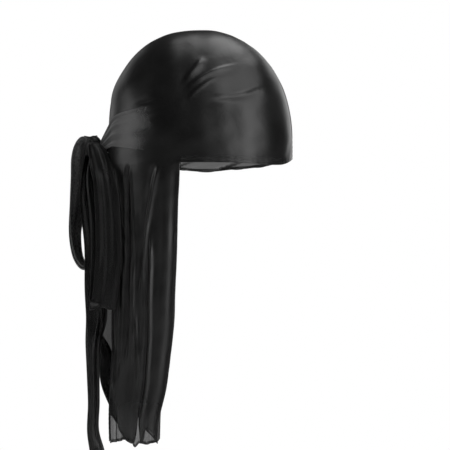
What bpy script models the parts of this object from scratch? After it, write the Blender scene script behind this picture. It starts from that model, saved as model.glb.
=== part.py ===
"""A long-tailed satin durag, tied at the back of the head with a bow that hangs down.

Units are metres. +X points to the forehead, +Y to the wearer's left and +Z up. The origin is the middle of
the head opening, at the height of the rim over the ears. The head itself is left out: the cloth keeps the
shape that a head gives it.
"""

import math

import bmesh
import bpy
from mathutils import Vector

# Cloth
CLOTH = 0.0012  # a wall of satin
HEM = 0.0021  # the same wall where its edge is rolled and stitched
HEM_WIDTH = 0.004
GAP = 0.0003  # clear space between two pieces of cloth that touch

# Crown, measured outside the cloth
FRONT_REACH = 0.0970  # origin to the forehead
BACK_REACH = 0.0960  # origin to the back of the head
HALF_WIDTH = 0.078  # origin to the widest place above an ear
CROWN_HEIGHT = 0.1433  # rim over the ears to the top of the head
WALL_HEIGHT = 0.030  # the head narrows upwards from this height
FOREHEAD_LIFT = 0.007  # the rim is this much higher at the forehead than over the ears
SQUARENESS = 2.25  # 2 is an ellipse seen from above, and more is squarer
FRONT_ROUNDNESS = 2.10  # 2 is an ellipse seen from the side, and more is fuller
BACK_ROUNDNESS = 2.32
SIDE_ROUNDNESS = 2.10
FOLD_DEPTH = 0.0030  # of the folds that the ties pull into the crown
FOLD_SPREAD = 0.0070
FOLD_RUN_OUT = 0.25  # share of its length that a fold runs on at each end while it fades
FOLDS_FROM = 0.45  # share of the half width at which the folds have their full depth

# Flap that hangs from the nape
FLAP_LENGTH = 0.301  # rim to the lowest hem
LEFT_EDGE_SETBACK = 0.0065  # the left half starts this much further back than the right half
PLEAT_DEPTH = 0.0050
PLEATS_AT_RIM = 0.3  # share of their depth that the pleats have under the rim
PLEATS_FULL = 0.35  # share of the flap's length by which they have all of it
PLEATS_END = 0.84  # place, from the free edge at 0 to the back at 1, where the plain middle starts

# Centre seam
SEAM_WIDTH = 0.0014

# Knot at the nape
KNOT_STANDOFF = 0.0165  # back of the crown to the middle of the knot
KNOT_HEIGHT = 0.0200  # above the rim
KNOT_LENGTH = 0.0190
KNOT_WIDTH = 0.0220
KNOT_TALL = 0.0250
KNOT_GROOVE = 0.0005

# Ties, from the sides of the crown to the knot
TIE_WIDTH = 0.044  # where the tie is sewn to the crown
TIE_TOP_START = math.radians(124)  # round from the forehead
TIE_LOW_START = math.radians(135)
TIE_LEAVES = math.radians(158)  # where it lifts off the crown towards the knot
TIE_ON_CROWN = 0.7  # share of its length that lies on the crown
TIE_LIFT = 0.0006  # crown to tie, with room for the flat facets of both
GATHER_DEPTH = 0.0022
GATHERS = 3

# Bow loops and tie tails, from the middle of the knot
STRAP_WIDTH = 0.0275
STRAP_FOLD = 0.0035  # how deeply a strap is folded along its length
OUTER_LOOP_DROP = 0.127
OUTER_LOOP_REACH = 0.0195
OUTER_LOOP_CLEARANCE = 0.0030  # from the loop's edge to the tail that hangs in the middle
OUTER_LOOP_SIDE = STRAP_WIDTH / 2 + OUTER_LOOP_CLEARANCE
NEAR_LOOP_DROP = 0.166
NEAR_LOOP_REACH = 0.0170  # towards the head
NEAR_LOOP_SIDE = 0.0300  # how far it springs out beside the knot
BACK_TAIL_DROP = 0.322
BACK_TAIL_SWAY = 0.0080
FAR_TAIL_DROP = 0.285
FLAP_CLEARANCE = 0.0030  # from the crests of the flap's pleats to a strap that hangs beside them

# The flap from its top to its hem. level is a share of the flap's length. edge, where the free edge hangs, and
# back are shares of the crown's reach to the back, and half_width is one of the crown's half width.
FLAP_LEVELS = [
    dict(level=0.00, edge=0.190, back=0.985, half_width=0.975),
    dict(level=0.12, edge=0.208, back=0.955, half_width=0.920),
    dict(level=0.30, edge=0.220, back=0.925, half_width=0.850),
    dict(level=0.45, edge=0.235, back=0.905, half_width=0.790),
    dict(level=0.56, edge=0.250, back=0.900, half_width=0.740),
    dict(level=0.65, edge=0.287, back=0.935, half_width=0.700),
    dict(level=0.74, edge=0.342, back=0.980, half_width=0.670),
    dict(level=0.85, edge=0.422, back=0.998, half_width=0.640),
    dict(level=1.00, edge=0.446, back=0.990, half_width=0.600),
]

# Pleats of each half of the flap. top, middle and hem are places along the half, from its free edge at 0 to
# the back of the head at 1, and spread is one of them too. depth is a share of PLEAT_DEPTH, negative inwards.
RIGHT_PLEATS = [
    dict(top=0.02, middle=0.03, hem=0.05, spread=0.050, depth=-0.5),
    dict(top=0.14, middle=0.30, hem=0.19, spread=0.045, depth=0.9),
    dict(top=0.22, middle=0.20, hem=0.28, spread=0.045, depth=-0.6),
    dict(top=0.30, middle=0.39, hem=0.38, spread=0.045, depth=-0.7),
    dict(top=0.46, middle=0.47, hem=0.47, spread=0.040, depth=1.0),
    dict(top=0.53, middle=0.54, hem=0.58, spread=0.040, depth=-0.9),
    dict(top=0.66, middle=0.66, hem=0.68, spread=0.050, depth=0.8),
]
LEFT_PLEATS = [
    dict(top=0.04, middle=0.06, hem=0.05, spread=0.060, depth=0.6),
    dict(top=0.16, middle=0.18, hem=0.15, spread=0.050, depth=-0.7),
    dict(top=0.27, middle=0.28, hem=0.27, spread=0.050, depth=0.9),
    dict(top=0.38, middle=0.38, hem=0.40, spread=0.045, depth=-0.8),
    dict(top=0.50, middle=0.48, hem=0.53, spread=0.045, depth=0.9),
    dict(top=0.61, middle=0.60, hem=0.64, spread=0.045, depth=-0.7),
]

# How far the hem rises above the flap's lowest point, as shares of the flap's length, from the free edge at 0
# to the back of the head at 1.
RIGHT_HEM = [
    dict(place=0.00, rise=0.078),
    dict(place=0.12, rise=0.112),
    dict(place=0.18, rise=0.063),
    dict(place=0.32, rise=0.053),
    dict(place=0.56, rise=0.105),
    dict(place=0.84, rise=0.136),
    dict(place=1.00, rise=0.045),
]
LEFT_HEM = [
    dict(place=0.00, rise=0.017),
    dict(place=0.25, rise=0.002),
    dict(place=0.50, rise=0.026),
    dict(place=1.00, rise=0.045),
]

# Folds that the ties pull into the sides of the crown. Each runs from a place near the pull to one nearer the
# forehead. The x places are shares of FRONT_REACH, the z places of CROWN_HEIGHT, and depth of FOLD_DEPTH.
CROWN_FOLDS = [
    dict(pull_x=-0.12, pull_z=0.585, end_x=0.07, end_z=0.750, depth=-1.0),
    dict(pull_x=-0.04, pull_z=0.650, end_x=0.16, end_z=0.790, depth=0.9),
    dict(pull_x=-0.14, pull_z=0.520, end_x=0.35, end_z=0.700, depth=-1.0),
    dict(pull_x=-0.09, pull_z=0.445, end_x=0.20, end_z=0.595, depth=0.9),
    dict(pull_x=0.19, pull_z=0.455, end_x=0.69, end_z=0.503, depth=-0.9),
    dict(pull_x=0.05, pull_z=0.386, end_x=0.67, end_z=0.393, depth=0.6),
]

# A tie from the crown at 0 to the knot at 1. middle is a share of KNOT_HEIGHT and width one of TIE_WIDTH.
TIE_SECTIONS = [
    dict(along=0.00, middle=1.70, width=1.00),
    dict(along=0.35, middle=1.68, width=0.84),
    dict(along=0.65, middle=1.58, width=0.68),
    dict(along=0.85, middle=1.28, width=0.44),
    dict(along=1.00, middle=1.03, width=0.26),
]

# The straps, from the knot and back to it. Where a strap hangs free, out, side and down are shares of its own
# reach, side and drop. Where it hangs beside the flap, round is its place in degrees from the back of the head
# towards the wearer's left and stand is a share of FLAP_CLEARANCE. knot is the direction in which it meets the
# knot. width is a share of STRAP_WIDTH, fold one of STRAP_FOLD, and turn is the direction that the width lies
# in, in degrees from +X towards +Y.
OUTER_LOOP_ROUTE = [
    dict(knot=(-0.45, 0.30, 0.85), width=0.40, turn=88, fold=0.1),
    dict(out=0.42, side=0.45, down=-0.112, width=0.46, turn=80, fold=0.5),
    dict(out=0.66, side=0.62, down=-0.066, width=0.66, turn=70, fold=0.7),
    dict(out=0.78, side=0.78, down=0.050, width=0.86, turn=58, fold=0.9),
    dict(out=0.80, side=0.92, down=0.240, width=1.00, turn=50, fold=1.0),
    dict(out=0.82, side=1.00, down=0.480, width=1.00, turn=50, fold=0.8),
    dict(out=0.92, side=1.04, down=0.720, width=0.94, turn=64, fold=0.7),
    dict(out=0.82, side=1.04, down=0.910, width=0.88, turn=74, fold=0.5),
    dict(out=0.58, side=1.02, down=1.000, width=0.84, turn=82, fold=0.4),
    dict(out=0.28, side=1.00, down=0.930, width=0.84, turn=84, fold=0.4),
    dict(out=0.14, side=0.96, down=0.720, width=0.82, turn=84, fold=0.5),
    dict(out=0.14, side=0.92, down=0.460, width=0.74, turn=84, fold=0.7),
    dict(out=0.12, side=0.78, down=0.240, width=0.54, turn=84, fold=0.6),
    dict(knot=(-0.05, 0.42, -0.90), width=0.36, turn=88, fold=0.1),
]
NEAR_LOOP_ROUTE = [
    dict(knot=(0.10, -0.95, 0.30), width=0.36, turn=0, fold=0.1),
    dict(out=-0.15, side=-0.70, down=-0.010, width=0.44, turn=-4, fold=0.5),
    dict(out=-0.42, side=-1.05, down=0.065, width=0.62, turn=-10, fold=0.7),
    dict(round=-29, stand=1.0, down=0.190, width=0.86, turn=-20, fold=0.8),
    dict(round=-30, stand=1.0, down=0.340, width=0.98, turn=-20, fold=0.8),
    dict(round=-29, stand=1.0, down=0.520, width=1.00, turn=-19, fold=0.7),
    dict(round=-28, stand=1.0, down=0.720, width=1.00, turn=-18, fold=0.6),
    dict(round=-26, stand=1.0, down=0.900, width=1.00, turn=-18, fold=0.4),
    dict(round=-23, stand=1.0, down=0.995, width=0.97, turn=-18, fold=0.3),
    dict(round=-19, stand=0.6, down=0.970, width=0.94, turn=-18, fold=0.3),
    dict(round=-17, stand=0.4, down=0.860, width=0.90, turn=-18, fold=0.4),
    dict(round=-16, stand=0.4, down=0.640, width=0.86, turn=-16, fold=0.5),
    dict(round=-16, stand=0.4, down=0.420, width=0.80, turn=-14, fold=0.6),
    dict(round=-13, stand=1.0, down=0.210, width=0.60, turn=-8, fold=0.5),
    dict(knot=(0.15, -0.75, -0.65), width=0.34, turn=0, fold=0.1),
]
BACK_TAIL_ROUTE = [
    dict(knot=(-0.55, -0.05, -0.83), width=0.38, turn=75, fold=0.1),
    dict(out=0.75, side=-0.55, down=0.095, width=0.46, turn=40, fold=0.6),
    dict(out=0.70, side=-0.60, down=0.180, width=0.60, turn=20, fold=0.8),
    dict(out=-0.05, side=-0.55, down=0.320, width=0.70, turn=14, fold=0.8),
    dict(out=-0.25, side=-0.50, down=0.460, width=0.80, turn=10, fold=0.7),
    dict(out=-0.42, side=-0.45, down=0.560, width=0.80, turn=8, fold=0.7),
    dict(out=-0.10, side=-0.45, down=0.640, width=0.62, turn=30, fold=0.9),
    dict(out=-0.12, side=-0.40, down=0.740, width=0.50, turn=34, fold=1.0),
    dict(out=-0.15, side=-0.40, down=0.840, width=0.44, turn=28, fold=0.9),
    dict(out=0.00, side=-0.45, down=0.930, width=0.44, turn=20, fold=0.8),
    dict(out=-0.50, side=-0.50, down=1.000, width=0.56, turn=4, fold=0.5),
]
FAR_TAIL_ROUTE = [
    dict(knot=(0.48, 0.20, -0.85), width=0.38, turn=80, fold=0.1),
    dict(round=8, stand=0.4, down=0.150, width=0.52, turn=14, fold=0.5),
    dict(round=9, stand=0.2, down=0.300, width=0.62, turn=18, fold=0.5),
    dict(round=9, stand=0.1, down=0.440, width=0.68, turn=18, fold=0.4),
    dict(round=9, stand=0.1, down=0.560, width=0.72, turn=18, fold=0.3),
    dict(round=8, stand=0.1, down=0.680, width=0.72, turn=24, fold=0.3),
    dict(round=14, stand=0.3, down=0.790, width=0.70, turn=36, fold=0.3),
    dict(round=23, stand=0.6, down=0.890, width=0.68, turn=48, fold=0.3),
    dict(round=32, stand=0.8, down=1.000, width=0.68, turn=54, fold=0.2),
]

# Mesh steps
FRONT_COLUMNS = 15  # from the forehead to the flap's free edge
FLAP_COLUMNS = 22  # from there to the back of the head
DOME_ROWS = 13
WALL_ROWS = 2
FLAP_ROWS = 14
STRAP_STEPS = 2  # between two rows of a route
STRAP_COLUMNS = 4
TIE_ROWS = 12
TIE_COLUMNS = 9


def smooth(share):
    """0 to 1 with a level start and finish."""
    share = min(1.0, max(0.0, share))
    return share * share * (3 - 2 * share)


def read_table(rows, key, at, column):
    """The column's value at a place between rows that are sorted by key."""
    if at <= rows[0][key]:
        return rows[0][column]
    for lower, upper in zip(rows, rows[1:]):
        if at <= upper[key]:
            share = (at - lower[key]) / (upper[key] - lower[key])
            return lower[column] + (upper[column] - lower[column]) * smooth(share)
    return rows[-1][column]


def read_curve(values, at):
    """A smooth curve through evenly spaced values, read at a place from 0 to the last one's number."""
    index = min(int(at), len(values) - 2)
    share = at - index
    start, end = values[index], values[index + 1]
    before = values[index - 1] if index > 0 else start
    after = values[index + 2] if index + 2 < len(values) else end
    rise, fall = (end - before) / 2, (after - start) / 2
    square, cube = share * share, share * share * share
    return (
        start * (2 * cube - 3 * square + 1)
        + rise * (cube - 2 * square + share)
        + end * (3 * square - 2 * cube)
        + fall * (cube - square)
    )


def signed_power(value, power):
    return math.copysign(abs(value) ** power, value)


# Crown and flap as one surface


def rounded_in(rise, roundness):
    """The share of a reach that is left at a share of the dome's height."""
    return (1 - rise**roundness) ** (1 / roundness)


def head_section(height):
    """Reach to the front, reach to the back and half width of the crown at a height above the rim."""
    if height >= WALL_HEIGHT:
        rise = min(1.0, (height - WALL_HEIGHT) / (CROWN_HEIGHT - WALL_HEIGHT))
        front = FRONT_REACH * rounded_in(rise, FRONT_ROUNDNESS)
        back = BACK_REACH * rounded_in(rise, BACK_ROUNDNESS)
        return front, back, HALF_WIDTH * rounded_in(rise, SIDE_ROUNDNESS)
    low = smooth(1 - height / WALL_HEIGHT)
    back = 1 + (FLAP_LEVELS[0]["back"] - 1) * low
    half_width = 1 + (FLAP_LEVELS[0]["half_width"] - 1) * low
    return FRONT_REACH, BACK_REACH * back, HALF_WIDTH * half_width


def around(angle, front, back, half_width):
    """A point of the outline seen from above. The angle is 0 at the forehead and pi at the back."""
    power = 2 / SQUARENESS
    reach = front if math.cos(angle) > 0 else back
    return reach * signed_power(math.cos(angle), power), half_width * signed_power(math.sin(angle), power)


def crown_point(angle, height):
    x, y = around(angle, *head_section(height))
    return Vector((x, y, height))


def flap_outline(angle, drop):
    """A point of the flap's plain outline at a share of its length, without pleats."""
    back = BACK_REACH * read_table(FLAP_LEVELS, "level", drop, "back")
    half_width = HALF_WIDTH * read_table(FLAP_LEVELS, "level", drop, "half_width")
    x, y = around(angle, back, back, half_width)
    return Vector((x, y, -drop * FLAP_LENGTH))


def edge_angle(drop, side):
    """The angle of the flap's free edge at a share of its length. side is 1 on the left and -1 on the right."""
    setback = LEFT_EDGE_SETBACK if side > 0 else 0
    edge = BACK_REACH * read_table(FLAP_LEVELS, "level", drop, "edge") + setback
    back = BACK_REACH * read_table(FLAP_LEVELS, "level", drop, "back")
    return math.pi - math.acos((edge / back) ** (SQUARENESS / 2))


def outward_in_plan(point_at, angle):
    """The level outward direction of the outline that point_at(angle) follows."""
    step = 0.01
    angle = min(max(angle, step), math.pi - step)
    along = point_at(angle + step) - point_at(angle - step)
    out = Vector((along.y, -along.x, 0))
    if out.dot(point_at(angle)) < 0:
        out.negate()
    return out.normalized()


def pleat_height(pleats, place, drop):
    """How far the pleats stand out of the flap, at a place from its free edge at 0 to the back at 1."""
    total = 0.0
    for pleat in pleats:
        if drop < 0.5:
            centre = pleat["top"] + (pleat["middle"] - pleat["top"]) * smooth(drop * 2)
        else:
            centre = pleat["middle"] + (pleat["hem"] - pleat["middle"]) * smooth(drop * 2 - 1)
        total += pleat["depth"] * math.exp(-(((place - centre) / pleat["spread"]) ** 2))
    grown = PLEATS_AT_RIM + (1 - PLEATS_AT_RIM) * smooth(drop / PLEATS_FULL)
    off_the_middle = smooth((1 - place) / (1 - PLEATS_END) - 0.5)
    off_the_rim = smooth(drop * FLAP_LENGTH / (3 * PLEAT_DEPTH))
    return PLEAT_DEPTH * total * grown * off_the_middle * off_the_rim


def flap_point(place, drop, side, pleats, hem):
    """A point of one half of the flap."""
    reached = drop * (1 - read_table(hem, "place", place, "rise"))
    start = edge_angle(reached, side)
    angle = start + (math.pi - start) * place
    point = flap_outline(angle, reached)
    out = outward_in_plan(lambda turn: flap_outline(turn, reached), angle)
    point += out * pleat_height(pleats, place, reached)
    return Vector((point.x, max(point.y, GAP / 2) * side, point.z))


def fold_height(x, z):
    """How far the folds on the side of the crown stand out at (x, z)."""
    total = 0.0
    for fold in CROWN_FOLDS:
        start = Vector((fold["pull_x"] * FRONT_REACH, fold["pull_z"] * CROWN_HEIGHT))
        end = Vector((fold["end_x"] * FRONT_REACH, fold["end_z"] * CROWN_HEIGHT))
        run = end - start
        share = (Vector((x, z)) - start).dot(run) / run.length_squared
        off = (Vector((x, z)) - start - run * min(1.0, max(0.0, share))).length
        fade = smooth(1 + share / FOLD_RUN_OUT) * smooth(1 + (1 - share) / FOLD_RUN_OUT)
        total += FOLD_DEPTH * fold["depth"] * fade * math.exp(-((off / FOLD_SPREAD) ** 2))
    return total


def crown_surface(angle, height, side):
    """A point of one half of the crown, folds included."""
    point = crown_point(angle, height)
    if height < CROWN_HEIGHT:
        out = outward_in_plan(lambda turn: crown_point(turn, height), angle)
        on_the_side = smooth(point.y / (HALF_WIDTH * FOLDS_FROM))
        point += out * fold_height(point.x, height) * on_the_side
    return Vector((point.x, max(point.y, GAP / 2) * side, point.z))


def hem_share(side):
    """The width of a hem as a share of one half of the flap, measured round it."""
    half = flap_outline(edge_angle(0, side), 0) - flap_outline(math.pi, 0)
    return HEM_WIDTH / half.length


def flap_place(column, side):
    """Where a column of the flap's mesh lies, from the free edge at 0 to the back at 1."""
    if column == 0:
        return 0.0
    hem = hem_share(side)
    return hem + (1 - hem) * (column - 1) / (FLAP_COLUMNS - 1)


def column_angle(column, side):
    """The angle of a column of the crown's mesh. The flap's columns start as the crown's last ones."""
    free_edge = edge_angle(0, side)
    if column <= FRONT_COLUMNS:
        return free_edge * column / FRONT_COLUMNS
    return free_edge + (math.pi - free_edge) * flap_place(column - FRONT_COLUMNS, side)


def rim_height(angle):
    return FOREHEAD_LIFT * smooth(1 - angle / edge_angle(0, -1))


def row_height(row, angle):
    """The height of a row of the crown's mesh, from the top of the head down to the rim."""
    if row <= DOME_ROWS:
        return WALL_HEIGHT + (CROWN_HEIGHT - WALL_HEIGHT) * math.cos(math.pi / 2 * row / DOME_ROWS)
    rim = rim_height(angle)
    if row == DOME_ROWS + WALL_ROWS + 1:
        return rim
    share = (row - DOME_ROWS) / WALL_ROWS
    return WALL_HEIGHT + (rim + HEM_WIDTH - WALL_HEIGHT) * share


def row_drop(row):
    """The drop of a row of the flap's mesh as a share of the flap's length."""
    if row == FLAP_ROWS:
        return 1.0
    return (1 - HEM_WIDTH / FLAP_LENGTH) * row / (FLAP_ROWS - 1)


# Making the pieces


def satin(name, tone, roughness):
    material = bpy.data.materials.new(name)
    material.use_nodes = True
    shader = material.node_tree.nodes["Principled BSDF"]
    shader.inputs["Base Color"].default_value = (tone, tone, tone, 1)
    shader.inputs["Roughness"].default_value = roughness
    shader.inputs["Metallic"].default_value = 0
    shader.inputs["Sheen Weight"].default_value = 0.3
    return material


def add_grid(bm, columns, rows, shape):
    """Adds a grid whose points are moved to shape(column, row)."""
    before = set(bm.verts)
    bmesh.ops.create_grid(bm, x_segments=columns, y_segments=rows, size=0.5)
    for vert in set(bm.verts) - before:
        vert.co = shape(round((vert.co.x + 0.5) * columns), round((vert.co.y + 0.5) * rows))


def make_cloth(name, bm, material, faces_out, wall_side, is_hem=None):
    """Gives an open sheet its wall and adds it to the durag. faces_out(point) is the side that shows."""
    bmesh.ops.remove_doubles(bm, verts=bm.verts, dist=GAP / 20)
    bm.normal_update()
    facing = sum(face.normal.dot(faces_out(face.calc_center_median())) * face.calc_area() for face in bm.faces)
    if facing < 0:
        bmesh.ops.reverse_faces(bm, faces=bm.faces)
    bm.verts.index_update()
    hem_verts = [vert.index for vert in bm.verts if is_hem and vert.is_boundary and is_hem(vert.co)]
    mesh = bpy.data.meshes.new(name)
    bm.to_mesh(mesh)
    bm.free()
    mesh.shade_smooth()
    mesh.materials.append(material)
    piece = bpy.data.objects.new(name, mesh)
    wall = piece.modifiers.new("wall", "SOLIDIFY")
    wall.thickness = CLOTH
    wall.offset = wall_side
    wall.use_even_offset = True
    if hem_verts:
        piece.vertex_groups.new(name="hem").add(hem_verts, 1.0, "REPLACE")
        wall.thickness = HEM
        wall.vertex_group = "hem"
        wall.thickness_vertex_group = CLOTH / HEM
    durag.objects.link(piece)


def make_panel(name, side, pleats, hem, material):
    """Half of the durag: one side of the crown, running on into its half of the flap."""
    bm = bmesh.new()

    def crown_shape(column, row):
        angle = column_angle(column, side)
        return crown_surface(angle, row_height(row, angle), side)

    def flap_shape(column, row):
        return flap_point(flap_place(column, side), row_drop(row), side, pleats, hem)

    add_grid(bm, FRONT_COLUMNS + FLAP_COLUMNS, DOME_ROWS + WALL_ROWS + 1, crown_shape)
    add_grid(bm, FLAP_COLUMNS, FLAP_ROWS, flap_shape)
    make_cloth(
        name,
        bm,
        material,
        faces_out=lambda point: Vector((point.x, point.y, max(0.0, point.z - WALL_HEIGHT))),
        wall_side=-1,
        is_hem=lambda point: abs(point.y) > GAP,
    )


def seam_line():
    """The line along the middle of the durag, from the forehead over the head and down to the flap's hem."""
    crown_rows = range(DOME_ROWS + WALL_ROWS + 2)
    line = [crown_point(0, row_height(row, 0)) for row in reversed(crown_rows)]
    line += [crown_point(math.pi, row_height(row, math.pi)) for row in crown_rows[1:]]
    lowest = 1 - RIGHT_HEM[-1]["rise"]
    line += [flap_outline(math.pi, row_drop(row) * lowest) for row in range(1, FLAP_ROWS + 1)]
    return line


def make_centre_seam(material):
    """The welt where the two panels are sewn together."""
    line = seam_line()
    curve = bpy.data.curves.new("centre_seam", "CURVE")
    curve.dimensions = "3D"
    curve.bevel_depth = SEAM_WIDTH / 2
    curve.bevel_resolution = 1
    curve.use_fill_caps = True
    spline = curve.splines.new("POLY")
    spline.points.add(len(line) - 1)
    for index, spot in enumerate(line):
        before, after = line[max(0, index - 1)], line[min(len(line) - 1, index + 1)]
        along = (after - before).normalized()
        out = Vector((along.z, 0, -along.x))
        spot = spot + out * (SEAM_WIDTH / 2 + GAP)
        spline.points[index].co = (spot.x, 0, spot.z, 1)
    curve.materials.append(material)
    durag.objects.link(bpy.data.objects.new("centre_seam", curve))


def knot_middle():
    return Vector((-BACK_REACH - KNOT_STANDOFF, 0, KNOT_HEIGHT))


def knot_surface(x, y, z):
    """Where the middle of a strap's end meets the knot, in the direction (x, y, z) from the knot's middle."""
    direction = Vector((x, y, z)).normalized()
    shares = Vector((direction.x / KNOT_LENGTH, direction.y / KNOT_WIDTH, direction.z / KNOT_TALL)) * 2
    return knot_middle() + direction * (1 / shares.length + GAP + CLOTH / 4)


def make_knot(material):
    """The wrap of the bow, a ball of cloth with the grooves between its turns."""
    bm = bmesh.new()
    bmesh.ops.create_uvsphere(bm, u_segments=18, v_segments=12, radius=1)
    for vert in bm.verts:
        spin = math.atan2(vert.co.x, vert.co.z)
        groove = KNOT_GROOVE * (1 - math.cos(2 * math.pi * vert.co.y + spin)) / 2
        size = Vector((KNOT_LENGTH, KNOT_WIDTH, KNOT_TALL)) / 2 - Vector((groove, groove, groove))
        vert.co = Vector((vert.co.x * size.x, vert.co.y * size.y, vert.co.z * size.z))
    mesh = bpy.data.meshes.new("knot")
    bm.to_mesh(mesh)
    bm.free()
    mesh.shade_smooth()
    mesh.materials.append(material)
    knot = bpy.data.objects.new("knot", mesh)
    knot.location = knot_middle()
    durag.objects.link(knot)


def make_tie(name, side, material):
    """A tie, sewn along the side of the crown and gathered towards the knot."""
    seat = knot_surface(0.80, 0.60 * side, 0)

    def shape(column, row):
        across, along = column / TIE_COLUMNS, row / TIE_ROWS
        middle = KNOT_HEIGHT * read_table(TIE_SECTIONS, "along", along, "middle")
        width = TIE_WIDTH * read_table(TIE_SECTIONS, "along", along, "width")
        height = middle + width * (across - 0.5)
        start = TIE_LOW_START + (TIE_TOP_START - TIE_LOW_START) * across
        angle = start + (TIE_LEAVES - start) * min(1.0, along / TIE_ON_CROWN)
        point = crown_surface(angle, height, 1)
        out = outward_in_plan(lambda turn: crown_point(turn, height), angle)
        gather = GATHER_DEPTH * smooth(along * 2) * math.sin(math.pi * GATHERS * across) ** 2
        point += out * (TIE_LIFT + gather)
        if along > TIE_ON_CROWN:
            end = Vector((seat.x, seat.y * side + gather, height))
            point = point.lerp(end, (along - TIE_ON_CROWN) / (1 - TIE_ON_CROWN))
        return Vector((point.x, point.y * side, height))

    bm = bmesh.new()
    add_grid(bm, TIE_COLUMNS, TIE_ROWS, shape)
    make_cloth(name, bm, material, faces_out=lambda point: Vector((point.x / 2, point.y, 0)), wall_side=1)


def width_direction(turn):
    return Vector((math.cos(math.radians(turn)), math.sin(math.radians(turn)), 0))


def beside_flap(row, height):
    """Where the middle of a strap hangs so that its nearer edge stays clear of the flap's pleats."""
    drop = -height / FLAP_LENGTH
    angle = math.pi - math.radians(abs(row["round"]))
    point = flap_outline(angle, drop)
    out = outward_in_plan(lambda turn: flap_outline(turn, drop), angle)
    if row["round"] < 0:
        point.y, out.y = -point.y, -out.y
    half_width = STRAP_WIDTH * row["width"] / 2 * abs(width_direction(row["turn"]).dot(out))
    return point + out * (PLEAT_DEPTH + FLAP_CLEARANCE * row["stand"] + half_width)


def route_places(route, drop, reach=0.0, side=0.0):
    """The places that the middle of a strap passes through."""
    places = []
    for row in route:
        if "knot" in row:
            place = knot_surface(*row["knot"])
        elif "round" in row:
            place = beside_flap(row, KNOT_HEIGHT - row["down"] * drop)
        else:
            place = knot_middle() + Vector((-row["out"] * reach, row["side"] * side, -row["down"] * drop))
        places.append(place)
    return places


def make_strap(name, route, places, material):
    """A flat strap of cloth through the places. The route's rows give its width, turn and fold at each."""
    bm = bmesh.new()
    last = len(route) - 1

    def read(column, at):
        return read_curve([row[column] for row in route], at)

    def shape(column, row):
        at = row / STRAP_STEPS
        nearby = 0.25
        along = read_curve(places, min(last, at + nearby)) - read_curve(places, max(0, at - nearby))
        along.normalize()
        wide = width_direction(read("turn", at))
        wide = (wide - along * wide.dot(along)).normalized()
        off = column / STRAP_COLUMNS - 0.5
        width = STRAP_WIDTH * read("width", at) * off
        fold = STRAP_FOLD * read("fold", at) * (2 * off) ** 2
        return read_curve(places, at) + wide * width - along.cross(wide) * fold

    add_grid(bm, STRAP_COLUMNS, last * STRAP_STEPS, shape)
    make_cloth(name, bm, material, faces_out=lambda point: Vector((0, -1, 0)), wall_side=0)


for thing in list(bpy.data.objects):
    bpy.data.objects.remove(thing, do_unlink=True)

durag = bpy.data.collections.new("durag")
bpy.context.scene.collection.children.link(durag)

make_panel("right_panel", -1, RIGHT_PLEATS, RIGHT_HEM, satin("right panel satin", 0.018, 0.38))
make_panel("left_panel", 1, LEFT_PLEATS, LEFT_HEM, satin("left panel satin", 0.018, 0.38))
make_centre_seam(satin("seam thread", 0.016, 0.55))
make_tie("tie_right", -1, satin("right tie satin", 0.020, 0.40))
make_tie("tie_left", 1, satin("left tie satin", 0.020, 0.40))
make_knot(satin("knot satin", 0.012, 0.45))
outer_places = route_places(OUTER_LOOP_ROUTE, OUTER_LOOP_DROP, OUTER_LOOP_REACH, OUTER_LOOP_SIDE)
near_places = route_places(NEAR_LOOP_ROUTE, NEAR_LOOP_DROP, NEAR_LOOP_REACH, NEAR_LOOP_SIDE)
back_places = route_places(BACK_TAIL_ROUTE, BACK_TAIL_DROP, BACK_TAIL_SWAY, BACK_TAIL_SWAY)
far_places = route_places(FAR_TAIL_ROUTE, FAR_TAIL_DROP)
make_strap("bow_loop_outer", OUTER_LOOP_ROUTE, outer_places, satin("outer loop satin", 0.020, 0.42))
make_strap("bow_loop_near", NEAR_LOOP_ROUTE, near_places, satin("near loop satin", 0.010, 0.42))
make_strap("tie_tail_back", BACK_TAIL_ROUTE, back_places, satin("back tail satin", 0.016, 0.42))
make_strap("tie_tail_far", FAR_TAIL_ROUTE, far_places, satin("far tail satin", 0.022, 0.42))
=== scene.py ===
# A long black satin durag in its worn shape, tied low at the back with a bow that hangs down.
# Metres. +X is the front, +Y the left side, +Z up. The origin is in the middle of the opening, at the rim.
import math

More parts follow.
